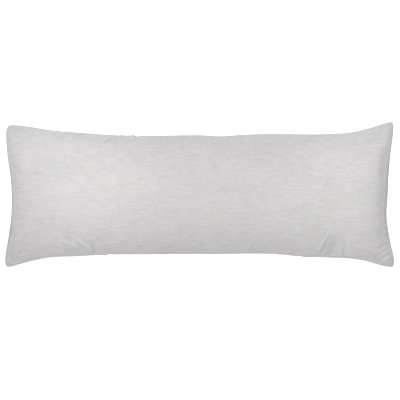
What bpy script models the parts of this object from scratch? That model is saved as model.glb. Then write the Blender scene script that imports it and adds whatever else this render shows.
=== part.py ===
"""A filled body pillow in a plain knife-edge cover, lying on its back.

Run it with: blender --background --python part.py

Metres, +Z up. X runs along the pillow and Y across it. The origin is on the surface that the
pillow lies on, under the middle of its box. Two panels of cloth are sewn together all round.
Each panel is a grid of squares, and u and v, from -1 to 1, say where a point lies along it and
across it.
"""

from collections import namedtuple
from math import cos, exp, hypot, pi, radians, sin, sqrt

import bmesh
import bpy

# The pillow as it lies filled
SEAM_HEIGHT = 0.088  # from the surface up to the seam, at the middle of a side
FRONT_RISE = 0.108  # from the seam up to the top of the crown
BACK_DEPTH = 0.104  # from the seam down to the crown of the back, if nothing held it up
EAR_DROOP = 0.030  # how much lower the seam lies at a corner
SEAM_THICKNESS = 0.003  # the two cloths and their turnings, pressed together
SEAM_WAVE, SEAM_WAVELENGTH = 0.003, 0.29  # how the seam rises and falls along a side
FAR_WAVE_PHASE = 1.0  # radians by which the far side's seam is ahead of the near side's
CORNER_RADIUS = 0.020

# How the filling swells a panel, along it and across it: 0 at the seam, and 1 at the crown. The
# back, pressed against the surface, is fuller at its sides than the front
Swell = namedtuple("Swell", "along_flat along_edge across_flat across_edge")
SWELLS = {"front": Swell(4.6, 0.50, 2.7, 0.58), "back": Swell(5.0, 0.50, 3.6, 0.55)}
NEAR_EDGES = 5.0  # exponent of what is felt only towards the edges, such as the ears' droop

# What the pillow rests on: the middle of its back, pressed flat. The cloth leaves the surface
# there at no less than a set slope
Foot = namedtuple("Foot", "share_along share_across slope")
FOOT = Foot(0.66, 0.60, 0.05)

# The grid of a panel. A share of each spacing follows a sine, which gathers rows at the seam
COLUMNS, ROWS = 104, 24
SINE_SHARE_ALONG, SINE_SHARE_ACROSS = 0.30, 0.80

# Cross-sections: place along the pillow, then the seam's distance from the middle line on the
# far side (+Y) and on the near side (-Y), and how full the filling is there
Section = namedtuple("Section", "along far near fullness")
SECTIONS = (
    Section(-0.676, 0.246, 0.259, 0.98),
    Section(-0.591, 0.236, 0.234, 0.98),
    Section(-0.521, 0.224, 0.220, 1.00),
    Section(-0.433, 0.217, 0.216, 1.00),
    Section(-0.311, 0.208, 0.210, 0.98),
    Section(-0.171, 0.205, 0.209, 0.97),
    Section(0.000, 0.207, 0.208, 0.98),
    Section(0.073, 0.203, 0.208, 0.99),
    Section(0.143, 0.208, 0.207, 0.99),
    Section(0.265, 0.212, 0.208, 0.98),
    Section(0.352, 0.210, 0.217, 0.97),
    Section(0.492, 0.213, 0.222, 0.98),
    Section(0.562, 0.224, 0.229, 0.98),
    Section(0.614, 0.239, 0.243, 0.96),
    Section(0.676, 0.259, 0.259, 0.96),
)

# The two ends: place across the pillow, then the seam's distance from the middle on the left
# (-X) and on the right (+X)
EndStation = namedtuple("EndStation", "across left right")
END_STATIONS = (
    EndStation(-0.256, 0.679, 0.680),
    EndStation(-0.223, 0.680, 0.680),
    EndStation(-0.181, 0.673, 0.670),
    EndStation(-0.126, 0.664, 0.659),
    EndStation(-0.070, 0.657, 0.652),
    EndStation(0.000, 0.656, 0.657),
    EndStation(0.055, 0.659, 0.659),
    EndStation(0.126, 0.669, 0.665),
    EndStation(0.210, 0.676, 0.676),
    EndStation(0.256, 0.674, 0.679),
)

# Puckers: short troughs that run from the seam into a panel. "along" is where one starts on the
# seam, "slant" how many degrees it leans towards +X from straight across, and "notch" how much
# it draws the seam in
Pucker = namedtuple("Pucker", "panel side along slant length width depth notch")
PUCKERS = (
    Pucker("front", "far", -0.300, -57, 0.048, 0.009, 0.010, 0.001),
    Pucker("front", "far", -0.232, -68, 0.050, 0.009, 0.009, 0.003),
    Pucker("front", "near", -0.362, -15, 0.044, 0.010, 0.009, 0.001),
    Pucker("front", "near", -0.396, -62, 0.085, 0.013, 0.004, 0.000),
    Pucker("front", "near", 0.178, 18, 0.052, 0.010, 0.008, 0.001),
    Pucker("front", "near", 0.384, 4, 0.058, 0.012, 0.004, 0.000),
    Pucker("front", "near", 0.420, 25, 0.088, 0.012, 0.010, 0.002),
    Pucker("front", "near", 0.458, 12, 0.056, 0.011, 0.006, 0.001),
    Pucker("front", "near", 0.502, 3, 0.040, 0.011, 0.006, 0.002),
    Pucker("back", "far", -0.430, 20, 0.060, 0.012, 0.006, 0.000),
    Pucker("back", "far", 0.120, -25, 0.055, 0.012, 0.006, 0.001),
    Pucker("back", "far", 0.455, -30, 0.070, 0.013, 0.007, 0.000),
    Pucker("back", "near", -0.160, 22, 0.050, 0.012, 0.006, 0.001),
    Pucker("back", "near", 0.300, -18, 0.060, 0.012, 0.006, 0.000),
)
RIDGE_SHARE = 0.45  # the cloth that a trough pushes up beside it, as a share of its depth
RIDGE_PLACE = 1.9  # how far beside the trough that is, in widths
MOST_DROP = 0.8  # a trough goes no deeper than this share of the swell that it lies in

SHARP_ANGLE = 70  # degrees between two faces, past which their edge is shaded sharp
CLOTH_COLOUR = (0.660, 0.646, 0.645, 1.0)
CLOTH_ROUGHNESS = 0.92


def clear_scene():
    for thing in list(bpy.data.objects):
        bpy.data.objects.remove(thing, do_unlink=True)


def cloth_material():
    """Light grey slubbed cloth, with no shine."""
    material = bpy.data.materials.new("cover")
    material.use_nodes = True
    shader = material.node_tree.nodes["Principled BSDF"]
    shader.inputs["Base Color"].default_value = CLOTH_COLOUR
    shader.inputs["Roughness"].default_value = CLOTH_ROUGHNESS
    shader.inputs["Metallic"].default_value = 0.0
    return material


def between(rows, place, column):
    """One column of a table at a place between its rows, on a smooth curve through them.

    The first column of the table holds the places, in rising order.
    """
    places = [row[0] for row in rows]
    values = [getattr(row, column) for row in rows]
    place = min(max(place, places[0]), places[-1])
    last = len(rows) - 1
    i = min(max(k for k in range(last) if places[k] <= place), last - 1)

    def slope(k):
        before, after = max(k - 1, 0), min(k + 1, last)
        return (values[after] - values[before]) / (places[after] - places[before])

    span = places[i + 1] - places[i]
    t = (place - places[i]) / span
    return (
        (2 * t**3 - 3 * t**2 + 1) * values[i]
        + (t**3 - 2 * t**2 + t) * span * slope(i)
        + (3 * t**2 - 2 * t**3) * values[i + 1]
        + (t**3 - t**2) * span * slope(i + 1)
    )


def towards_edges(t, sine_share):
    """A grid place from -1 to 1, moved so that the rows lie closer together at both edges."""
    return (1 - sine_share) * t + sine_share * sin(pi / 2 * t)


def bulge(t, flat, edge):
    """1 in the middle of a panel and 0 at its edges; flat and edge are the shape's exponents."""
    return max(0.0, 1 - abs(t) ** flat) ** edge


def rounded_corner(x, y, reach, spread):
    """Turns the square corner of a panel into an arc of CORNER_RADIUS."""
    from_end, from_side = reach - abs(x), spread - abs(y)
    if from_end >= CORNER_RADIUS or from_side >= CORNER_RADIUS:
        return x, y
    a, b = 1 - from_end / CORNER_RADIUS, 1 - from_side / CORNER_RADIUS
    round_a, round_b = a * sqrt(1 - b * b / 2), b * sqrt(1 - a * a / 2)
    x_size = reach - CORNER_RADIUS * (1 - round_a)
    y_size = spread - CORNER_RADIUS * (1 - round_b)
    return (x_size if x > 0 else -x_size), (y_size if y > 0 else -y_size)


def puckers_at(panel, side, x, inward):
    """(drop of the panel, draw of the seam) that the puckers of one side give at a point.

    inward is how far the point lies from that side's seam.
    """
    drop = 0.0
    draw = 0.0
    for pucker in PUCKERS:
        if (pucker.panel, pucker.side) != (panel, side):
            continue
        lean = radians(pucker.slant)
        from_root = x - pucker.along
        run = inward * cos(lean) + from_root * sin(lean)
        beside = (from_root * cos(lean) - inward * sin(lean)) / pucker.width
        fade = exp(-((max(run, 0.0) / pucker.length) ** 3))
        trough, ridge = exp(-(beside**2)), exp(-((beside + RIDGE_PLACE) ** 2))
        drop += pucker.depth * fade * (trough - RIDGE_SHARE * ridge)
        draw += pucker.notch * exp(-hypot(from_root, inward) / pucker.width)
    return drop, draw


def rested(height, u, v):
    """The height of a point of the cloth once the surface holds up what would sink below it."""
    off_end = (abs(u) - FOOT.share_along) * END_STATIONS[0].left
    off_side = (abs(v) - FOOT.share_across) * SECTIONS[0].far
    return max(height, FOOT.slope * max(off_end, off_side), 0.0)


def shaped_point(panel, u, v):
    """The place of a panel's point at u, v, with z counted from the seam's height."""
    reach_column = "right" if u > 0 else "left"
    side = "far" if v > 0 else "near"
    reach = between(END_STATIONS, v * END_STATIONS[-1].across, reach_column)
    along = u * SECTIONS[-1].along
    spread = between(SECTIONS, along, side)
    fullness = between(SECTIONS, along, "fullness")
    x, y = rounded_corner(u * reach, v * spread, reach, spread)
    drop, draw = puckers_at(panel, side, x, spread - abs(y))
    y -= draw if v > 0 else -draw
    shape = SWELLS[panel]
    swell = fullness * bulge(u, shape.along_flat, shape.along_edge)
    swell *= bulge(v, shape.across_flat, shape.across_edge)
    drop = min(drop, MOST_DROP * FRONT_RISE * swell)
    if panel == "front":
        z = FRONT_RISE * swell - drop + SEAM_THICKNESS / 2
    else:
        z = drop - BACK_DEPTH * swell - SEAM_THICKNESS / 2
    phase = FAR_WAVE_PHASE if v > 0 else 0.0
    z += SEAM_WAVE * sin(2 * pi * x / SEAM_WAVELENGTH + phase) * abs(v) ** NEAR_EDGES
    z -= EAR_DROOP * abs(u * v) ** NEAR_EDGES
    return x, y, rested(z + SEAM_HEIGHT, u, v) - SEAM_HEIGHT


def add_panel(shape, panel):
    """Adds one panel of cloth to the mesh, shaped as it lies, and returns its outer edges."""
    made = bmesh.ops.create_grid(shape, x_segments=COLUMNS, y_segments=ROWS, size=1.0)
    verts = made["verts"]
    for vert in verts:
        u = towards_edges(vert.co.x, SINE_SHARE_ALONG)
        v = towards_edges(vert.co.y, SINE_SHARE_ACROSS)
        vert.co = shaped_point(panel, u, v)
    faces = list({face for vert in verts for face in vert.link_faces})
    if panel == "back":
        bmesh.ops.reverse_faces(shape, faces=faces)
    return [edge for face in faces for edge in face.edges if edge.is_boundary]


def stand_on_origin(shape):
    """Puts the origin under the middle of the pillow's box, on the surface."""
    lowest = [min(vert.co[axis] for vert in shape.verts) for axis in range(3)]
    highest = [max(vert.co[axis] for vert in shape.verts) for axis in range(3)]
    middle = [(low + high) / 2 for low, high in zip(lowest, highest)]
    bmesh.ops.translate(shape, verts=shape.verts, vec=(-middle[0], -middle[1], -lowest[2]))


def make_pillow(material):
    """The front and the back panel, sewn together at their edges."""
    shape = bmesh.new()
    edges = add_panel(shape, "front") + add_panel(shape, "back")
    bmesh.ops.bridge_loops(shape, edges=edges)
    bmesh.ops.recalc_face_normals(shape, faces=shape.faces)
    stand_on_origin(shape)
    mesh = bpy.data.meshes.new("pillow")
    shape.to_mesh(mesh)
    shape.free()
    mesh.shade_smooth()
    mesh.set_sharp_from_angle(angle=radians(SHARP_ANGLE))
    mesh.materials.append(material)
    pillow = bpy.data.objects.new("pillow", mesh)
    bpy.context.scene.collection.objects.link(pillow)
    return pillow


def main():
    clear_scene()
    make_pillow(cloth_material())


if __name__ == "__main__":
    main()
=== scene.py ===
# %% [markdown]
# A body pillow in a plain light grey cover, lying on its back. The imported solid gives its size, the
# line of its seam and how it rests. This script makes what the solid leaves out: the cloth of the
# cover with its creases, the rolled edge of the seam, and the slubbed weave.

# %% Load the frame
from collections import namedtuple
from math import radians

import bmesh
import bpy
import numpy as np
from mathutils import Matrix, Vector, noise


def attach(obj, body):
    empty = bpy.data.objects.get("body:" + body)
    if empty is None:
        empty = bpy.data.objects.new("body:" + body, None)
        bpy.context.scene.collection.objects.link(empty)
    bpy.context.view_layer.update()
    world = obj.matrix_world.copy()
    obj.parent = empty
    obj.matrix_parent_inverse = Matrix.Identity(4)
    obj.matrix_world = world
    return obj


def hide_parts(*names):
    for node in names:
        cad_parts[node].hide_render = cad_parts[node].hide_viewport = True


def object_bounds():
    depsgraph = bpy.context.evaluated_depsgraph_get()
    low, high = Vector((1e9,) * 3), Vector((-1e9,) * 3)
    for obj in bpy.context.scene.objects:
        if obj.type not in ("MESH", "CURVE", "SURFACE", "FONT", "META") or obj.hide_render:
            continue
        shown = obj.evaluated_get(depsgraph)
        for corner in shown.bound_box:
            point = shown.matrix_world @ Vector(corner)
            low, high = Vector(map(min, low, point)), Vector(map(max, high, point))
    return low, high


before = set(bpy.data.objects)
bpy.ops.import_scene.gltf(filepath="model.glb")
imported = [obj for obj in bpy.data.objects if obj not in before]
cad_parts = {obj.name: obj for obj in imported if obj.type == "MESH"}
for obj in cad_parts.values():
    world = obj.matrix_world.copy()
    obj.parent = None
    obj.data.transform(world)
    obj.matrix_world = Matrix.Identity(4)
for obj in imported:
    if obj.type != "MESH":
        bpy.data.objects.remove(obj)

solid_low, solid_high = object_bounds()
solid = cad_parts["pillow"]
print("solid, mm:", [round(1000 * side) for side in solid_high - solid_low])

# %% [markdown]
# The real cover is two rectangles of cloth, sewn together all round, turned right side out and
# filled. Everything below works in the cloth's own directions: u runs along a panel from -1 to 1
# and v across it, so the same u and v name one thread crossing in the flat cover, in the
# simulation and in the finished pillow.

# %% Sizes of the cover
CUT_LENGTH, CUT_WIDTH = 1.372, 0.508  # a panel between its seams, laid flat
SEAM_GAP = 0.0030  # between the two rolled edges at the seam
SEAM_TUCK = 0.0022  # how deep the stitched line lies between them

# Cells of a finished panel. Columns gather round the pinched folds, and rows at the seam
COLUMNS, ROWS = 384, 112
PINCH_PLACES = (-0.70, -0.55, -0.42, -0.33, 0.26, 0.62, 0.70)  # on a scale from -1 to 1 along the cloth
PINCH_SPREAD, PINCH_CROWDING = 0.055, 1.2
SINE_SHARE_ACROSS = 0.60


def towards_edges(t, sine_share):
    """Places from -1 to 1, moved so that they lie closer together at both ends."""
    return (1 - sine_share) * t + sine_share * np.sin(np.pi / 2 * t)


def towards_pinches(count):
    """Places from -1 to 1, closer together round each pinch place."""
    fine = np.linspace(-1, 1, 4001)
    nearness = [np.exp(-(((fine - place) / PINCH_SPREAD) ** 2)) for place in PINCH_PLACES]
    crowd = np.cumsum(1 + PINCH_CROWDING * np.sum(nearness, axis=0))
    steps = np.linspace(crowd[0], crowd[-1], count + 1)
    return np.interp(steps, crowd, fine)


along_cloth = towards_pinches(COLUMNS)
across_cloth = towards_edges(np.linspace(-1, 1, ROWS + 1), SINE_SHARE_ACROSS)
U, V = np.meshgrid(along_cloth, across_cloth, indexing="ij")
print("cells a panel:", COLUMNS * ROWS)

# %% [markdown]
# The seam is the one hard line of the pillow, and the solid already has it in the right place. It
# could be typed in again as a table, but reading it off the solid keeps the two files in step. A
# plane across the solid cuts its edges, and the cut's outermost point is on the seam.

# %% Read the seam off the solid
corners = np.empty(3 * len(solid.data.vertices), np.float32)
solid.data.vertices.foreach_get("co", corners)
corners = corners.reshape(-1, 3).astype(float)
edge_ends = np.empty(2 * len(solid.data.edges), np.int32)
solid.data.edges.foreach_get("vertices", edge_ends)
edge_starts, edge_stops = corners[edge_ends[0::2]], corners[edge_ends[1::2]]
SAME_PLACE = 0.0005  # cut points this near the outermost one are on the seam too


def seam_point(axis, place, side):
    """The seam where the plane at `place` on `axis` crosses it; side is 1 or -1 on the other axis."""
    step = edge_stops[:, axis] - edge_starts[:, axis]
    crossed = (edge_starts[:, axis] - place) * (edge_stops[:, axis] - place) <= 0
    crossed &= np.abs(step) > 0
    part = (place - edge_starts[crossed, axis]) / step[crossed]
    cut = edge_starts[crossed] + part[:, None] * (edge_stops - edge_starts)[crossed]
    reach = side * cut[:, 1 - axis]
    return cut[reach > reach.max() - SAME_PLACE].mean(axis=0)


def ear_tip(x_side, y_side):
    """The tip of one corner: the solid's furthest point on the diagonal."""
    return corners[np.argmax(corners[:, 0] * x_side + corners[:, 1] * y_side)]


def soften(values, cells, axes=(0,)):
    """Smooths a grid of values over that many cells, keeping what lies on its borders in place."""
    reach = int(3 * cells)
    kernel = np.exp(-0.5 * (np.arange(-reach, reach + 1) / cells) ** 2)
    kernel /= kernel.sum()
    for axis in axes:
        padding = [(reach, reach) if k == axis else (0, 0) for k in range(values.ndim)]
        padded = np.pad(values, padding, mode="reflect", reflect_type="odd")
        count = values.shape[axis]
        values = sum(
            weight * np.take(padded, range(k, k + count), axis=axis)
            for k, weight in enumerate(kernel)
        )
    return values


def seam_side(axis, side, first_tip, last_tip, steps):
    """One side of the seam from tip to tip, as points at the given steps from -1 to 1."""
    places = first_tip[axis] + (last_tip[axis] - first_tip[axis]) * (steps[1:-1] + 1) / 2
    line = [first_tip, *(seam_point(axis, place, side) for place in places), last_tip]
    return soften(np.array(line), SEAM_SOFTENING)


SEAM_SOFTENING = 2.0  # cells, which takes the solid's facets out of the line
Nip = namedtuple("Nip", "x width shift")
FAR_NIPS = (
    Nip(-0.5005, 0.0055, 0.0018),
    Nip(-0.4720, 0.0075, 0.0018),
    Nip(-0.2780, 0.0050, 0.0010),
    Nip(-0.2246, 0.0095, -0.0026),
)
NEAR_NIPS = (Nip(-0.3224, 0.0100, 0.0022), Nip(0.3600, 0.0160, -0.0016))
NIP_PEAK = 2.33  # makes the curve of a nip as high as its shift


def nipped(line, nips):
    """Moves the seam a little one way before each nip and the other way after it."""
    for nip in nips:
        beside = (line[:, 0] - nip.x) / nip.width
        line[:, 1] += nip.shift * NIP_PEAK * beside * np.exp(-(beside**2))
    return line


TIPS = {(x, y): ear_tip(x, y) for x in (-1, 1) for y in (-1, 1)}
FAR = nipped(seam_side(0, 1, TIPS[-1, 1], TIPS[1, 1], along_cloth), FAR_NIPS)
NEAR = nipped(seam_side(0, -1, TIPS[-1, -1], TIPS[1, -1], along_cloth), NEAR_NIPS)
LEFT = seam_side(1, -1, TIPS[-1, -1], TIPS[-1, 1], across_cloth)
RIGHT = seam_side(1, 1, TIPS[1, -1], TIPS[1, 1], across_cloth)
seam_height = float(np.median([FAR[:, 2], NEAR[:, 2]]))
print("seam height, mm:", round(1000 * seam_height), "ears, mm:", round(1000 * TIPS[1, 1][2]))

# %% [markdown]
# Inside its four sides, the plan of a panel is a Coons patch: the blend of far and near sides, plus
# the blend of left and right sides, less the blend of the four corners, which both hold. The height
# of the seam fades inwards instead, because the filling alone decides how high the middle is.

# %% Lay out a panel between its seams
EDGE_POWER = 5.0  # how soon the seam's own ups and downs fade away from it
DROOP_SHARE = 0.5  # the cloth of the ears is stiff, so they droop less than the plain solid's


def seam_blend(weight_near, weight_far, weight_left, weight_right, part):
    """Blends the four sides of the seam over a panel, for the coordinates that `part` picks."""
    sides = weight_far[..., None] * FAR[:, None, part] + weight_near[..., None] * NEAR[:, None, part]
    ends = weight_left[..., None] * LEFT[None, :, part] + weight_right[..., None] * RIGHT[None, :, part]
    shared = sum(
        (wx * wy)[..., None] * TIPS[x, y][part]
        for x, wx in ((-1, weight_left), (1, weight_right))
        for y, wy in ((-1, weight_near), (1, weight_far))
    )
    return sides + ends - shared


plan = seam_blend((1 - V) / 2, (1 + V) / 2, (1 - U) / 2, (1 + U) / 2, slice(0, 2))
NEAR_FAR = [np.clip(side * V, 0, 1) ** EDGE_POWER for side in (-1, 1)]
LEFT_RIGHT = [np.clip(side * U, 0, 1) ** EDGE_POWER for side in (-1, 1)]
for tip in TIPS.values():
    tip[2] = DROOP_SHARE * (tip[2] - seam_height)
for side in (FAR, NEAR, LEFT, RIGHT):
    side[:, 2] = DROOP_SHARE * (side[:, 2] - seam_height)
mid_height = seam_height + seam_blend(*NEAR_FAR, *LEFT_RIGHT, slice(2, 3))[..., 0]
print("plan, mm:", [round(1000 * float(np.ptp(plan[..., k]))) for k in (0, 1)])

# %% [markdown]
# The filling makes the crown. Along and across, its section is close to a superellipse: flat in the
# middle and steep at the seam. The back has the same form, pressed flat by the pillow's weight where
# it rests, and it rolls up off the surface in a gentle curve.

# %% The crown and the resting back
# A higher `flat` makes the middle flatter, and a lower `edge` makes the sides steeper
Swell = namedtuple("Swell", "height along_flat along_edge across_flat across_edge")
CROWN = Swell(solid_high.z - seam_height - SEAM_GAP / 2, 4.3, 0.51, 2.1, 0.71)
BACK = Swell(0.104, 5.0, 0.50, 3.6, 0.55)
ROLL_HEIGHT = 0.006  # the back curves down onto the surface over this much height


def swell_of(form):
    """How far the filling pushes a panel out of the seam's plane, from 0 at the seam."""
    along = (1 - np.abs(U) ** form.along_flat) ** form.along_edge
    across = (1 - np.abs(V) ** form.across_flat) ** form.across_edge
    return form.height * along * across


def rested(height):
    """Lifts onto the surface what would sink below it, with a smooth start to the curve."""
    rolling = np.clip(height + ROLL_HEIGHT, 0, 2 * ROLL_HEIGHT) ** 2 / (4 * ROLL_HEIGHT)
    return np.where(height > ROLL_HEIGHT, height, rolling)


SIDES = {"front": 1, "back": -1}
swells = {"front": swell_of(CROWN), "back": swell_of(BACK)}
print("crown, mm:", round(1000 * float(swells["front"].max())))

# %% [markdown]
# The creases of a cushion come from cloth being pushed out of flat: the seam is too long for the
# drawn-in sides, so it puckers. That could be painted as noise, but cloth simulation finds where it
# really happens. The flat cover is sewn, blown up with pressure and no gravity, and stopped when it
# is as thick as the filled pillow. Coarse cells settle faster and fold at the right scale.

# %% Sew the flat cover
SIM_COLUMNS, SIM_ROWS = 110, 42
CUT_CORNER = 0.030  # the corners of the cut are rounded off, as a maker does to sharpen the ears
START_GAP = 0.004  # each panel starts this far from the middle, so that air gets in
SIM_EASE = 1.03  # the cover is cut this much larger, for the stretch it loses in filling


def round_corner(x, y, half_length, half_width):
    """Turns the square corner of the cut into an arc."""
    from_end, from_side = half_length - abs(x), half_width - abs(y)
    if from_end >= CUT_CORNER or from_side >= CUT_CORNER:
        return x, y
    a, b = 1 - from_end / CUT_CORNER, 1 - from_side / CUT_CORNER
    x_size = half_length - CUT_CORNER * (1 - a * (1 - b * b / 2) ** 0.5)
    y_size = half_width - CUT_CORNER * (1 - b * (1 - a * a / 2) ** 0.5)
    return (x_size if x > 0 else -x_size), (y_size if y > 0 else -y_size)


def flat_cover():
    """The sewn, empty cover as an object, and the grid place (panel, column, row) of its points."""
    half_length, half_width = SIM_EASE * CUT_LENGTH / 2, SIM_EASE * CUT_WIDTH / 2
    cover = bmesh.new()
    place = [cover.verts.layers.int.new(name) for name in ("panel", "column", "row")]
    for number, side in enumerate(SIDES.values()):
        grid = bmesh.ops.create_grid(cover, x_segments=SIM_COLUMNS, y_segments=SIM_ROWS, size=1)
        rim = {vert for vert in grid["verts"] if vert.is_boundary}
        for vert in grid["verts"]:
            vert[place[0]] = number
            vert[place[1]] = round((vert.co.x + 1) / 2 * SIM_COLUMNS)
            vert[place[2]] = round((vert.co.y + 1) / 2 * SIM_ROWS)
            x, y = vert.co.x * half_length, vert.co.y * half_width
            spot = Vector((UNEVEN_SCALE * x, UNEVEN_SCALE * y, UNEVEN_APART * side))
            uneven = 1 + START_UNEVEN * noise.noise(spot)
            x, y = round_corner(x, y, half_length, half_width)
            vert.co = x, y, 0 if vert in rim else side * START_GAP * uneven
        if side < 0:
            faces = list({face for vert in grid["verts"] for face in vert.link_faces})
            bmesh.ops.reverse_faces(cover, faces=faces)
    bmesh.ops.remove_doubles(cover, verts=cover.verts, dist=1e-6)
    places = np.array([[vert[layer] for layer in place] for vert in cover.verts])
    mesh = bpy.data.meshes.new("flat_cover")
    cover.to_mesh(mesh)
    cover.free()
    sewn = bpy.data.objects.new("flat_cover", mesh)
    bpy.context.scene.collection.objects.link(sewn)
    return sewn, places


START_UNEVEN = 0.5  # share by which the start of the panels is uneven, so that no two sides match
UNEVEN_SCALE, UNEVEN_APART = 9, 5  # of that noise, per metre and between the two panels
flat, flat_places = flat_cover()
print("cover sewn from", len(flat.data.vertices), "points")

# %% Fill the cover with air
FILL_FRAMES = 8
CLOTH = {
    "quality": 6,
    "mass": 0.001,
    "tension_stiffness": 40,
    "compression_stiffness": 40,
    "shear_stiffness": 10,
    "bending_stiffness": 0.05,
    "tension_damping": 5,
    "compression_damping": 5,
    "shear_damping": 5,
    "air_damping": 5,
    "use_pressure": True,
    "uniform_pressure_force": 5,
}


def filled(cover):
    """The points of the cover once it is filled, by cloth simulation. The cover is used up."""
    cloth = cover.modifiers.new("cloth", "CLOTH")
    for name, value in CLOTH.items():
        setattr(cloth.settings, name, value)
    cloth.settings.effector_weights.gravity = 0
    cloth.point_cache.frame_end = FILL_FRAMES + 1
    for number in range(1, FILL_FRAMES + 1):
        bpy.context.scene.frame_set(number)
    shown = cover.evaluated_get(bpy.context.evaluated_depsgraph_get())
    points = np.empty(3 * len(shown.data.vertices), np.float32)
    shown.data.vertices.foreach_get("co", points)
    mesh = cover.data
    bpy.data.objects.remove(cover, do_unlink=True)
    bpy.data.meshes.remove(mesh)
    bpy.context.scene.frame_set(1)
    return points.reshape(-1, 3).astype(float)


air_filled = filled(flat)
print("filled with air, mm:", (1000 * np.ptp(air_filled, axis=0)).round())

# %% [markdown]
# Only the creases of that cushion are wanted, because its outline is the solid's. What is left of
# each panel after its smooth shape is taken away is the creases, as small moves in x, y and z. A
# spline carries them from the coarse cells to the fine ones.

# %% Take the creases off the simulated cover
CREASE_CELLS = 4.0  # folds wider than about this many coarse cells count as shape, not as creases


def panel_grid(number):
    """The simulated points of one panel, as a grid of columns and rows."""
    grid = np.empty((SIM_COLUMNS + 1, SIM_ROWS + 1, 3))
    column, row = flat_places[:, 1], flat_places[:, 2]
    rim = (column % SIM_COLUMNS == 0) | (row % SIM_ROWS == 0)
    wanted = rim | (flat_places[:, 0] == number)
    grid[column[wanted], row[wanted]] = air_filled[wanted]
    return grid


def spline_weights(places, count):
    """Catmull-Rom weights: a row for each place from 0 to count - 1, a column for each point."""
    weights = np.zeros((len(places), count))
    cell = np.clip(places.astype(int), 0, count - 2)
    t = places - cell
    shares = (
        (-t + 2 * t**2 - t**3) / 2,
        (2 - 5 * t**2 + 3 * t**3) / 2,
        (t + 4 * t**2 - 3 * t**3) / 2,
        (t**3 - t**2) / 2,
    )
    for offset, share in zip((-1, 0, 1, 2), shares):
        point = np.clip(cell + offset, 0, count - 1)
        np.add.at(weights, (np.arange(len(places)), point), share)
    return weights


def creases_of(number):
    grid = panel_grid(number)
    small = grid - soften(grid, CREASE_CELLS, axes=(0, 1))
    across = spline_weights((across_cloth + 1) / 2 * SIM_ROWS, SIM_ROWS + 1)
    along = spline_weights((along_cloth + 1) / 2 * SIM_COLUMNS, SIM_COLUMNS + 1)
    return np.einsum("ia,abk,jb->ijk", along, small, across)


creases = {panel: creases_of(number) for number, panel in enumerate(SIDES)}
print("deepest crease, mm:", round(1000 * float(np.abs(creases["front"]).max()), 1))
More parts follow.
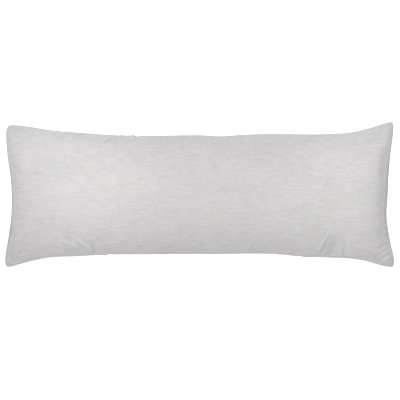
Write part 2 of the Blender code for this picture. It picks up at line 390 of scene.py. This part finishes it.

# %% [markdown]
# The creases that show most are placed one by one, as the eye would notice if they were missing.
# Each is a soft trough that starts at or near the seam, with the cloth that it pushes up beside it.
# A depth below nothing turns the trough over, into a ridge.

# %% Place the main folds
# Metres, but for the heading, which is in degrees from +x, and the ridge, a share of the depth
Fold = namedtuple("Fold", "panel x y heading length width depth ridge bend")
FOLDS = (
    # Far side, towards the left: slanting pinches
    Fold("front", -0.302, 0.2020, 214, 0.036, 0.0030, 0.0130, 0.3, 0.002),
    Fold("front", -0.287, 0.1990, 240, 0.026, 0.0032, 0.0060, 0.3, 0.000),
    Fold("front", -0.276, 0.1950, 232, 0.018, 0.0030, 0.0040, 0.3, 0.000),
    Fold("front", -0.226, 0.2050, 205, 0.046, 0.0045, 0.0060, 0.5, 0.003),
    # Near side, towards the left: a pinch, and two soft ridges that fan out from it
    Fold("front", -0.3660, -0.2070, 107, 0.032, 0.0030, 0.0056, 0.9, 0.000),
    Fold("front", -0.4718, -0.1605, 337, 0.056, 0.0055, -0.0056, 0.2, 0.000),
    Fold("front", -0.4212, -0.1570, 321, 0.044, 0.0046, -0.0062, 0.2, 0.000),
    # Near side, right of the middle: a soft ridge with a short trough on its left
    Fold("front", 0.1790, -0.1500, 233, 0.046, 0.0040, 0.0024, 1.2, 0.001),
    Fold("front", 0.1890, -0.1540, 233, 0.050, 0.0120, -0.0022, 0.0, 0.001),
    # Near side, towards the right: the longest pinch, the wide dip beside it and its neighbours
    Fold("front", 0.4450, -0.1217, 238, 0.060, 0.0036, 0.0016, 1.2, 0.001),
    Fold("front", 0.4262, -0.2060, 66, 0.046, 0.0056, 0.0036, 0.7, 0.001),
    Fold("front", 0.4700, -0.2146, 84, 0.062, 0.0240, 0.0195, 0.0, 0.002),
    Fold("front", 0.4850, -0.2150, 86, 0.055, 0.0100, -0.0060, 0.0, 0.000),
    Fold("front", 0.4712, -0.1900, 88, 0.038, 0.0050, 0.0020, 0.2, 0.000),
    Fold("front", 0.5090, -0.2150, 90, 0.050, 0.0062, 0.0030, 0.9, 0.001),
    # The ears: soft folds beside the end seams, and creases across the near ones
    Fold("front", -0.6700, -0.2480, 83, 0.120, 0.0140, 0.0076, 0.0, 0.000),
    Fold("front", -0.6540, -0.2440, 90, 0.100, 0.0085, -0.0040, 0.0, 0.000),
    Fold("front", -0.6377, -0.2269, 54, 0.038, 0.0038, 0.0024, 0.9, 0.001),
    Fold("front", -0.6412, -0.2338, 38, 0.040, 0.0040, -0.0032, 0.3, 0.000),
    Fold("front", 0.640, -0.2300, 140, 0.110, 0.0110, 0.0025, 0.7, 0.006),
    Fold("front", 0.6475, -0.1762, 207, 0.036, 0.0040, 0.0027, 1.2, 0.001),
    Fold("front", 0.6545, -0.1902, 207, 0.048, 0.0040, 0.0023, 0.9, 0.002),
    Fold("front", 0.6563, -0.2094, 215, 0.040, 0.0042, 0.0018, 1.1, 0.001),
    Fold("front", 0.6280, -0.2330, 40, 0.050, 0.0036, 0.0018, 0.9, 0.002),
    Fold("front", 0.648, 0.2360, 226, 0.110, 0.0120, 0.0030, 0.6, 0.006),
    # The ends: two small folds, and a long dip beside each end seam
    Fold("front", -0.626, 0.0660, 270, 0.060, 0.0050, 0.0010, 0.9, 0.001),
    Fold("front", -0.614, 0.0600, 270, 0.050, 0.0050, 0.0008, 0.6, 0.001),
    Fold("front", 0.6450, 0.1500, 269, 0.330, 0.0180, 0.0108, 0.1, 0.003),
    Fold("front", -0.6560, -0.2300, 90, 0.330, 0.0110, 0.0070, 0.0, 0.004),
    # The back
    Fold("back", -0.430, 0.2140, 250, 0.070, 0.0080, 0.0060, 0.7, 0.004),
    Fold("back", 0.120, 0.2040, 285, 0.060, 0.0080, 0.0052, 0.7, 0.003),
    Fold("back", 0.455, 0.2100, 300, 0.080, 0.0085, 0.0060, 0.7, 0.004),
    Fold("back", -0.160, -0.2060, 70, 0.060, 0.0080, 0.0052, 0.7, 0.003),
    Fold("back", 0.300, -0.2070, 105, 0.070, 0.0085, 0.0060, 0.7, 0.004),
)
RIDGE_PLACE = 1.9  # the ridge lies this many widths beside its trough
ROOT_FADE = 0.5  # a fold starts this share of its width before its root
WIDENING = 0.5  # a fold grows wider by this share towards its far end


def fold_depth(fold):
    """How deep one fold is over its panel; a ridge counts as less than nothing."""
    heading = radians(fold.heading)
    east, north = plan[..., 0] - fold.x, plan[..., 1] - fold.y
    run = (east * np.cos(heading) + north * np.sin(heading)) / fold.length
    beside = north * np.cos(heading) - east * np.sin(heading)
    beside = beside - fold.bend * 4 * run * (1 - run)
    beside = beside / (fold.width * (1 + WIDENING * np.clip(run, 0, 1)))
    start = 1 / (1 + np.exp(-run * fold.length / (ROOT_FADE * fold.width)))
    fade = start * np.exp(-np.clip(run, 0, None) ** 3)
    trough = np.exp(-(beside**2))
    ridge = np.exp(-((beside - RIDGE_PLACE) ** 2))
    return fold.depth * fade * (trough - fold.ridge * ridge)


def folds_of(panel):
    return sum(fold_depth(fold) for fold in FOLDS if fold.panel == panel)


folds = {panel: folds_of(panel) for panel in SIDES}
print("folds placed by hand:", len(FOLDS))

# %% [markdown]
# The filling is never quite even, so wide shallow lumps go in as well, from two scales of noise. All
# these moves are along the panel's own normals, which point sideways near the seam, and they fade
# out at the seam itself, where the two panels are held together.

# %% Shape both panels
CREASE_SHARE = 0.45  # how much of the simulated creases is kept
LUMPS = ((7.0, 0.0022), (16.0, 0.0009))  # scale per metre and height of each noise
HELD_SHARE = 0.12  # moves are full where a panel has risen this share of its crown
SPREAD_HELD_SHARE = 0.45  # the same for sideways moves, which would change the outline
SEAM_LOOSE = 0.3  # share of the simulated rise and fall that is left at the seam itself
LUMPS_APART = 3.7  # between the noises of the two panels


def lumps_of(side):
    """How high the filling's lumps push one panel, over its grid."""
    heights = np.zeros(U.shape)
    for scale, height in LUMPS:
        for place in np.ndindex(U.shape):
            x, y = plan[place]
            heights[place] += height * noise.noise(Vector((scale * x, scale * y, LUMPS_APART * side)))
    return heights


def outward_normals(points, side):
    """The unit normals of a grid of points, on the outer side of the panel."""
    normals = np.cross(np.gradient(points, axis=0), np.gradient(points, axis=1))
    return side * normals / np.linalg.norm(normals, axis=2, keepdims=True)


def shaped_panel(panel):
    """The finished points of a panel, as a grid."""
    side = SIDES[panel]
    height = mid_height + side * (swells[panel] + SEAM_GAP / 2)
    smooth = np.dstack([plan, height])
    risen = swells[panel] / swells[panel].max()
    free = np.clip(risen / HELD_SHARE, 0, 1)
    free_sideways = np.clip(risen / SPREAD_HELD_SHARE, 0, 1)
    hold = np.dstack([free_sideways, free_sideways, SEAM_LOOSE + (1 - SEAM_LOOSE) * free])
    moves = outward_normals(smooth, side) * (free * (lumps_of(side) - folds[panel]))[..., None]
    points = smooth + moves + CREASE_SHARE * hold * creases[panel]
    points[..., 2] = rested(points[..., 2])
    return points


panels = {panel: shaped_panel(panel) for panel in SIDES}
print("height, mm:", round(1000 * float(panels["front"][..., 2].max())))

# %% [markdown]
# The mesh is two grids, and their rims are bridged. A real turned seam has no sharp edge: the two
# cloths roll round to the stitched line, which lies in a fine groove between them. So the bridge is
# cut once along its middle, and that new loop is tucked in. A UV map holds where each point lies in
# the flat cut, in metres, and that is what the weave will follow.

# %% Build the cover
UV_NAME = "flat_cut"


def add_panel(cover, panel, flat_cut):
    """Adds one panel to the mesh, notes where its points lie in the cut, and returns its rim."""
    grid = bmesh.ops.create_grid(cover, x_segments=COLUMNS, y_segments=ROWS, size=1)["verts"]
    for vert in grid:
        i = round((vert.co.x + 1) / 2 * COLUMNS)
        j = round((vert.co.y + 1) / 2 * ROWS)
        vert[flat_cut] = U[i, j] * CUT_LENGTH / 2, V[i, j] * CUT_WIDTH / 2, 0
        vert.co = panels[panel][i, j]
    faces = list({face for vert in grid for face in vert.link_faces})
    if panel == "back":
        bmesh.ops.reverse_faces(cover, faces=faces)
    return [edge for face in faces for edge in face.edges if edge.is_boundary]


def tuck_seam(cover, rims):
    """Closes the rims with a groove that the stitched line lies in."""
    rungs = bmesh.ops.bridge_loops(cover, edges=rims)["edges"]
    halved = bmesh.ops.subdivide_edges(cover, edges=rungs, cuts=1)
    stitched = [part for part in halved["geom_inner"] if isinstance(part, bmesh.types.BMVert)]
    bmesh.ops.recalc_face_normals(cover, faces=cover.faces)
    cover.normal_update()
    moves = [(vert, vert.normal * SEAM_TUCK) for vert in stitched]
    for vert, move in moves:
        vert.co -= move


def built_cover():
    cover = bmesh.new()
    flat_cut = cover.verts.layers.float_vector.new(UV_NAME)
    rims = [edge for panel in SIDES for edge in add_panel(cover, panel, flat_cut)]
    tuck_seam(cover, rims)
    uv = cover.loops.layers.uv.new(UV_NAME)
    for face in cover.faces:
        face.smooth = True
        for loop in face.loops:
            loop[uv].uv = loop.vert[flat_cut].xy
    cover.verts.layers.float_vector.remove(flat_cut)
    mesh = bpy.data.meshes.new("cover")
    cover.to_mesh(mesh)
    cover.free()
    piece = bpy.data.objects.new("cover", mesh)
    bpy.context.scene.collection.objects.link(piece)
    return piece


cover = built_cover()
print("cover faces:", len(cover.data.polygons))

# %% [markdown]
# The cloth is a light grey plain weave of slubbed yarn. Thick and thin places in the yarn show as
# faint streaks along the pillow, and fainter ones across it. Noise stretched along the flat cut
# gives both; an image would have to be painted to match. The streaks change the tone, the roughness
# and the height a little, and the threads themselves only the height.

# %% Weave, as a node group
THREAD_SPACING = 0.0009  # metres
WANDER_SCALE, WANDER_TURN = (60, 60, 1), 5.0  # so that no thread lies quite straight
LONG_SLUBS, CROSS_SLUBS = (27, 120, 1), (165, 24, 1)  # noise scales per metre of the cut
LONG_SHARE, CROSS_SHARE = 0.72, 0.28
CAST_SCALE, DYE_SCALE = (5, 9, 1), (3, 7, 1)


def new_group(name, inputs, outputs):
    """A shader node group, with outputs that are all floats, and its two end nodes."""
    group = bpy.data.node_groups.new(name, "ShaderNodeTree")
    for socket, (kind, value) in inputs.items():
        made = group.interface.new_socket(socket, in_out="INPUT", socket_type=kind)
        if value is not None:
            made.default_value = value
    for socket in outputs:
        group.interface.new_socket(socket, in_out="OUTPUT", socket_type="NodeSocketFloat")
    return group, group.nodes.new("NodeGroupInput"), group.nodes.new("NodeGroupOutput")


def math_node(tree, operation, *values, clamp=False):
    """A Math node whose inputs are sockets or numbers; returns its output."""
    node = tree.nodes.new("ShaderNodeMath")
    node.operation = operation
    node.use_clamp = clamp
    for socket, value in zip(node.inputs, values):
        if isinstance(value, (int, float)):
            socket.default_value = value
        else:
            tree.links.new(value, socket)
    return node.outputs[0]


def stretched_noise(tree, place, scale, detail):
    """Noise on coordinates stretched by `scale`; returns its value from 0 to 1."""
    mapping = tree.nodes.new("ShaderNodeMapping")
    mapping.inputs["Scale"].default_value = scale
    tree.links.new(place, mapping.inputs["Vector"])
    texture = tree.nodes.new("ShaderNodeTexNoise")
    texture.inputs["Scale"].default_value = 1.0
    texture.inputs["Detail"].default_value = detail
    texture.inputs["Roughness"].default_value = 0.6
    tree.links.new(mapping.outputs["Vector"], texture.inputs["Vector"])
    return texture.outputs["Fac"]


def slub_weave_group():
    """Threads is the height of the weave, Slub the uneven yarn, Cast and Dye broad unevenness."""
    inputs = {"Place": ("NodeSocketVector", None), "Thread": ("NodeSocketFloat", THREAD_SPACING)}
    group, start, end = new_group("slub_weave", inputs, ("Threads", "Slub", "Cast", "Dye"))
    place, thread = start.outputs["Place"], start.outputs["Thread"]
    drift = stretched_noise(group, place, WANDER_SCALE, 1)
    wander = math_node(group, "MULTIPLY", drift, WANDER_TURN)
    split = group.nodes.new("ShaderNodeSeparateXYZ")
    group.links.new(place, split.inputs[0])
    waves = []
    for axis in ("X", "Y"):
        turns = math_node(group, "DIVIDE", split.outputs[axis], thread)
        phase = math_node(group, "MULTIPLY_ADD", turns, np.pi, wander)
        waves.append(math_node(group, "SINE", phase))
    crossing = math_node(group, "MULTIPLY", *waves)
    group.links.new(math_node(group, "MULTIPLY_ADD", crossing, 0.5, 0.5), end.inputs["Threads"])
    lengthwise = stretched_noise(group, place, LONG_SLUBS, 3)
    crosswise = stretched_noise(group, place, CROSS_SLUBS, 2)
    long_part = math_node(group, "MULTIPLY", lengthwise, LONG_SHARE)
    mixed = math_node(group, "MULTIPLY_ADD", crosswise, CROSS_SHARE, long_part)
    group.links.new(mixed, end.inputs["Slub"])
    group.links.new(stretched_noise(group, place, CAST_SCALE, 2), end.inputs["Cast"])
    group.links.new(stretched_noise(group, place, DYE_SCALE, 1), end.inputs["Dye"])
    return group


weave = slub_weave_group()
print("weave sockets:", [item.name for item in weave.interface.items_tree])

# %% [markdown]
# The seam is sewn from the inside, so no thread shows. What does show from near is the row of small
# puckers that the stitches pull into the cloth. They could be modelled, but they are finer than any
# cell of the mesh. Bump makes them: a wave along the nearest edge of the cut, fading away from it.

# %% Stitch puckers, as a node group
STITCH_LENGTH, PUCKER_REACH = 0.0034, 0.0035


def stitch_puckers_group():
    """Puckers is the height of the rows of puckers along all four edges of the cut."""
    inputs = {
        "Place": ("NodeSocketVector", None),
        "Half Length": ("NodeSocketFloat", CUT_LENGTH / 2),
        "Half Width": ("NodeSocketFloat", CUT_WIDTH / 2),
    }
    group, start, end = new_group("stitch_puckers", inputs, ("Puckers",))
    split = group.nodes.new("ShaderNodeSeparateXYZ")
    group.links.new(start.outputs["Place"], split.inputs[0])
    x, y = split.outputs["X"], split.outputs["Y"]
    off_x, off_y = math_node(group, "ABSOLUTE", x), math_node(group, "ABSOLUTE", y)
    from_end = math_node(group, "SUBTRACT", start.outputs["Half Length"], off_x)
    from_side = math_node(group, "SUBTRACT", start.outputs["Half Width"], off_y)
    at_side = math_node(group, "LESS_THAN", from_side, from_end)
    along = math_node(group, "MULTIPLY_ADD", math_node(group, "SUBTRACT", x, y), at_side, y)
    wave = math_node(group, "SINE", math_node(group, "MULTIPLY", along, 2 * np.pi / STITCH_LENGTH))
    height = math_node(group, "MULTIPLY_ADD", wave, 0.5, 0.5)
    inwards = math_node(group, "MINIMUM", from_end, from_side)
    fade = math_node(group, "EXPONENT", math_node(group, "MULTIPLY", inwards, -1 / PUCKER_REACH))
    group.links.new(math_node(group, "MULTIPLY", height, fade), end.inputs["Puckers"])
    return group


puckers = stitch_puckers_group()
print("stitches along a long side:", round(CUT_LENGTH / STITCH_LENGTH))

# %% [markdown]
# The material mixes two close greys by the slubs and the broad cast. Washed cotton and linen have
# no gloss but a little fuzz, which is what Sheen is for. The slubs, the threads and the puckers have
# a Bump node each, which keeps their heights in real metres.

# %% The cloth's material
Tone = namedtuple("Tone", "red green blue")
LIGHT_YARN = Tone(0.717, 0.703, 0.703)
DARK_YARN = Tone(0.567, 0.556, 0.558)
ROSE_TINT = Tone(1.010, 0.995, 1.012)
SAGE_TINT = Tone(0.990, 1.003, 0.983)
SLUB_HEIGHT, THREAD_HEIGHT, PUCKER_HEIGHT = 0.00035, 0.00012, 0.0009
SLUB_SHARE, CAST_SHARE = 0.76, 0.24  # of the shade
SHADE_SPAN, DYE_SPAN = (0.30, 0.70), (0.35, 0.65)  # the part of each noise that is stretched to 0 to 1
ROUGHEST, SLUB_SMOOTHING = 0.96, -0.08  # thick yarn is a little smoother
SHEEN, SHEEN_ROUGHNESS, GLOSS = 0.15, 0.5, 0.25


def ramp(tree, value, low, high):
    """Stretches low..high of a value to 0..1; returns the output."""
    node = tree.nodes.new("ShaderNodeMapRange")
    node.inputs["From Min"].default_value = low
    node.inputs["From Max"].default_value = high
    tree.links.new(value, node.inputs["Value"])
    return node.outputs["Result"]


def colour_mix(tree, first, second):
    """A Mix node between two colours."""
    node = tree.nodes.new("ShaderNodeMix")
    node.data_type = "RGBA"
    node.inputs["A"].default_value = (*first, 1)
    node.inputs["B"].default_value = (*second, 1)
    return node


def tinted_tone(tree, tone, dye):
    """Multiplies a colour by a tint between rose and sage; returns the output."""
    tint = colour_mix(tree, ROSE_TINT, SAGE_TINT)
    tree.links.new(dye, tint.inputs["Factor"])
    product = colour_mix(tree, ROSE_TINT, SAGE_TINT)
    product.blend_type = "MULTIPLY"
    product.inputs["Factor"].default_value = 1.0
    tree.links.new(tone, product.inputs["A"])
    tree.links.new(tint.outputs["Result"], product.inputs["B"])
    return product.outputs["Result"]


def cloth_material():
    material = bpy.data.materials.new("slubbed_cloth")
    material.use_nodes = True
    tree = material.node_tree
    shader = tree.nodes["Principled BSDF"]
    place = tree.nodes.new("ShaderNodeUVMap")
    place.uv_map = UV_NAME
    cloth = tree.nodes.new("ShaderNodeGroup")
    cloth.node_tree = weave
    tree.links.new(place.outputs["UV"], cloth.inputs["Place"])
    seam = tree.nodes.new("ShaderNodeGroup")
    seam.node_tree = puckers
    tree.links.new(place.outputs["UV"], seam.inputs["Place"])
    slub = ramp(tree, cloth.outputs["Slub"], *SHADE_SPAN)
    cast = ramp(tree, cloth.outputs["Cast"], *SHADE_SPAN)
    cast_part = math_node(tree, "MULTIPLY", cast, CAST_SHARE)
    shade = math_node(tree, "MULTIPLY_ADD", slub, SLUB_SHARE, cast_part)
    tone = colour_mix(tree, DARK_YARN, LIGHT_YARN)
    tree.links.new(shade, tone.inputs["Factor"])
    dye = ramp(tree, cloth.outputs["Dye"], *DYE_SPAN)
    tinted = tinted_tone(tree, tone.outputs["Result"], dye)
    tree.links.new(tinted, shader.inputs["Base Color"])
    rough = math_node(tree, "MULTIPLY_ADD", slub, SLUB_SMOOTHING, ROUGHEST)
    tree.links.new(rough, shader.inputs["Roughness"])
    reliefs = (
        (slub, SLUB_HEIGHT),
        (cloth.outputs["Threads"], THREAD_HEIGHT),
        (seam.outputs["Puckers"], PUCKER_HEIGHT),
    )
    normal = None
    for height, distance in reliefs:
        bump = tree.nodes.new("ShaderNodeBump")
        bump.inputs["Strength"].default_value = 1.0
        bump.inputs["Distance"].default_value = distance
        tree.links.new(height, bump.inputs["Height"])
        if normal is not None:
            tree.links.new(normal, bump.inputs["Normal"])
        normal = bump.outputs["Normal"]
    tree.links.new(normal, shader.inputs["Normal"])
    shader.inputs["Sheen Weight"].default_value = SHEEN
    shader.inputs["Sheen Roughness"].default_value = SHEEN_ROUGHNESS
    shader.inputs["Specular IOR Level"].default_value = GLOSS
    return material


cover.data.materials.append(cloth_material())
print("material:", cover.data.materials[0].name)

# %% [markdown]
# The floor is plain white, and glows enough to stay white under the pillow's own shade. Light comes
# from a long strip overhead, a wide window at the far left that models the folds, and four spots
# that brighten the left and right parts and the two far ears. A dim, slightly blue sky fills the
# shade; it is brighter at the far and near sides.

# %% Floor
FLOOR_TONE, FLOOR_ROUGHNESS, FLOOR_GLOSS = (0.3, 0.3, 0.3, 1), 0.9, 0.1
FLOOR_GLOW, FLOOR_GLOW_STRENGTH = (0.975, 0.965, 1, 1), 1.02
FLOOR_REACH, FLOOR_DROP = 30.0, 0.0005  # the drop keeps it clear of the resting back


def floor_material():
    material = bpy.data.materials.new("white_floor")
    material.use_nodes = True
    shader = material.node_tree.nodes["Principled BSDF"]
    shader.inputs["Base Color"].default_value = FLOOR_TONE
    shader.inputs["Roughness"].default_value = FLOOR_ROUGHNESS
    shader.inputs["Specular IOR Level"].default_value = FLOOR_GLOSS
    shader.inputs["Emission Color"].default_value = FLOOR_GLOW
    shader.inputs["Emission Strength"].default_value = FLOOR_GLOW_STRENGTH
    return material


def make_floor():
    ground = bmesh.new()
    bmesh.ops.create_grid(ground, x_segments=1, y_segments=1, size=FLOOR_REACH)
    mesh = bpy.data.meshes.new("floor")
    ground.to_mesh(mesh)
    ground.free()
    mesh.materials.append(floor_material())
    floor = bpy.data.objects.new("floor", mesh)
    floor.location.z = -FLOOR_DROP
    bpy.context.scene.collection.objects.link(floor)
    return floor


floor = make_floor()
print("floor made")

# %% Light
STRIP_PLACE, STRIP_LENGTH, STRIP_WIDTH = (0.02, 0.08, 1.4), 2.0, 0.35
STRIP_POWER = 9.9
WARM = (1.0, 0.998, 0.976)
WINDOW_PLACE, WINDOW_SPREAD, WINDOW_STRENGTH = (-0.9, 0.80, 3.2), radians(24), 0.80
Spot = namedtuple("Spot", "name place aim cone power")  # the cone in degrees, the power in watts
SPOTS = (
    Spot("left_glow", (-0.45, 0.40, 3.0), (-0.45, 0.060, 0.19), 14, 56),
    Spot("right_glow", (0.550, 0.40, 3.0), (0.550, 0.03, 0.19), 11.5, 48),
    Spot("left_ear_glow", (-0.65, 0.50, 3.0), (-0.65, 0.215, 0.10), 6, 42),
    Spot("right_ear_glow", (0.61, 0.50, 3.0), (0.61, 0.215, 0.10), 6, 32),
)
SPOT_RADIUS = 0.15
SKY_COLOUR = (0.96, 0.95, 1.0)
SKY_STRENGTH, SKY_FAR_NEAR = 0.20, 0.46  # everywhere, and what is added straight along y


def place_lamp(data, place, aim):
    """Puts a lamp into the scene, facing the aim."""
    lamp = bpy.data.objects.new(data.name, data)
    lamp.location = place
    lamp.rotation_euler = (Vector(aim) - Vector(place)).to_track_quat("-Z", "Y").to_euler()
    bpy.context.scene.collection.objects.link(lamp)


strip = bpy.data.lights.new("overhead_strip", "AREA")
strip.shape = "RECTANGLE"
strip.size, strip.size_y = STRIP_LENGTH, STRIP_WIDTH
strip.energy, strip.color = STRIP_POWER, WARM
place_lamp(strip, STRIP_PLACE, (STRIP_PLACE[0], STRIP_PLACE[1], 0))
window = bpy.data.lights.new("far_left_window", "SUN")
window.angle, window.energy, window.color = WINDOW_SPREAD, WINDOW_STRENGTH, WARM
place_lamp(window, WINDOW_PLACE, (0, 0, 0))
for spot in SPOTS:
    data = bpy.data.lights.new(spot.name, "SPOT")
    data.spot_size, data.spot_blend = radians(spot.cone), 1.0
    data.energy, data.shadow_soft_size = spot.power, SPOT_RADIUS
    place_lamp(data, spot.place, spot.aim)


def soft_sky():
    """A sky that is brighter towards the far and near sides, where the studio's white walls stand."""
    world = bpy.data.worlds.new("soft_sky")
    world.use_nodes = True
    tree = world.node_tree
    backdrop = tree.nodes["Background"]
    backdrop.inputs["Color"].default_value = (*SKY_COLOUR, 1)
    split = tree.nodes.new("ShaderNodeSeparateXYZ")
    tree.links.new(tree.nodes.new("ShaderNodeTexCoord").outputs["Generated"], split.inputs[0])
    towards = math_node(tree, "MULTIPLY", split.outputs["Y"], split.outputs["Y"])
    strength = math_node(tree, "MULTIPLY_ADD", towards, SKY_FAR_NEAR, SKY_STRENGTH)
    tree.links.new(strength, backdrop.inputs["Strength"])
    return world


bpy.context.scene.world = soft_sky()
bpy.context.scene.view_settings.view_transform = "Standard"
print("lamps:", 2 + len(SPOTS))

# %% [markdown]
# The camera looks straight down at the pillow's face. A long lens keeps the lower ears the same size
# as the rest. The picture is 400 pixels wide, and one pixel covers a named length at the seam.

# %% Camera
PIXELS = 400
PIXEL_LENGTH = 0.0034926  # metres in a pixel, at the height of the seam
PILLOW_PIXEL = (199.6, 194.55)  # where the pillow's middle lies in the picture, from its top left
LENS, SENSOR = 200.0, 36.0  # millimetres


def make_camera():
    data = bpy.data.cameras.new("camera")
    data.lens = LENS
    data.sensor_width = SENSOR
    data.clip_end = 100
    camera = bpy.data.objects.new("camera", data)
    x = (PIXELS / 2 - PILLOW_PIXEL[0]) * PIXEL_LENGTH
    y = (PILLOW_PIXEL[1] - PIXELS / 2) * PIXEL_LENGTH
    distance = PIXELS * PIXEL_LENGTH * LENS / SENSOR
    camera.location = x, y, seam_height + distance
    bpy.context.scene.collection.objects.link(camera)
    return camera


bpy.context.scene.camera = make_camera()
print("camera distance, m:", round(bpy.context.scene.camera.location.z, 2))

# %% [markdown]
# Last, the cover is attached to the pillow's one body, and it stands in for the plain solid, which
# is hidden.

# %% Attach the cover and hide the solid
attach(cover, "root")
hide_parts("pillow")
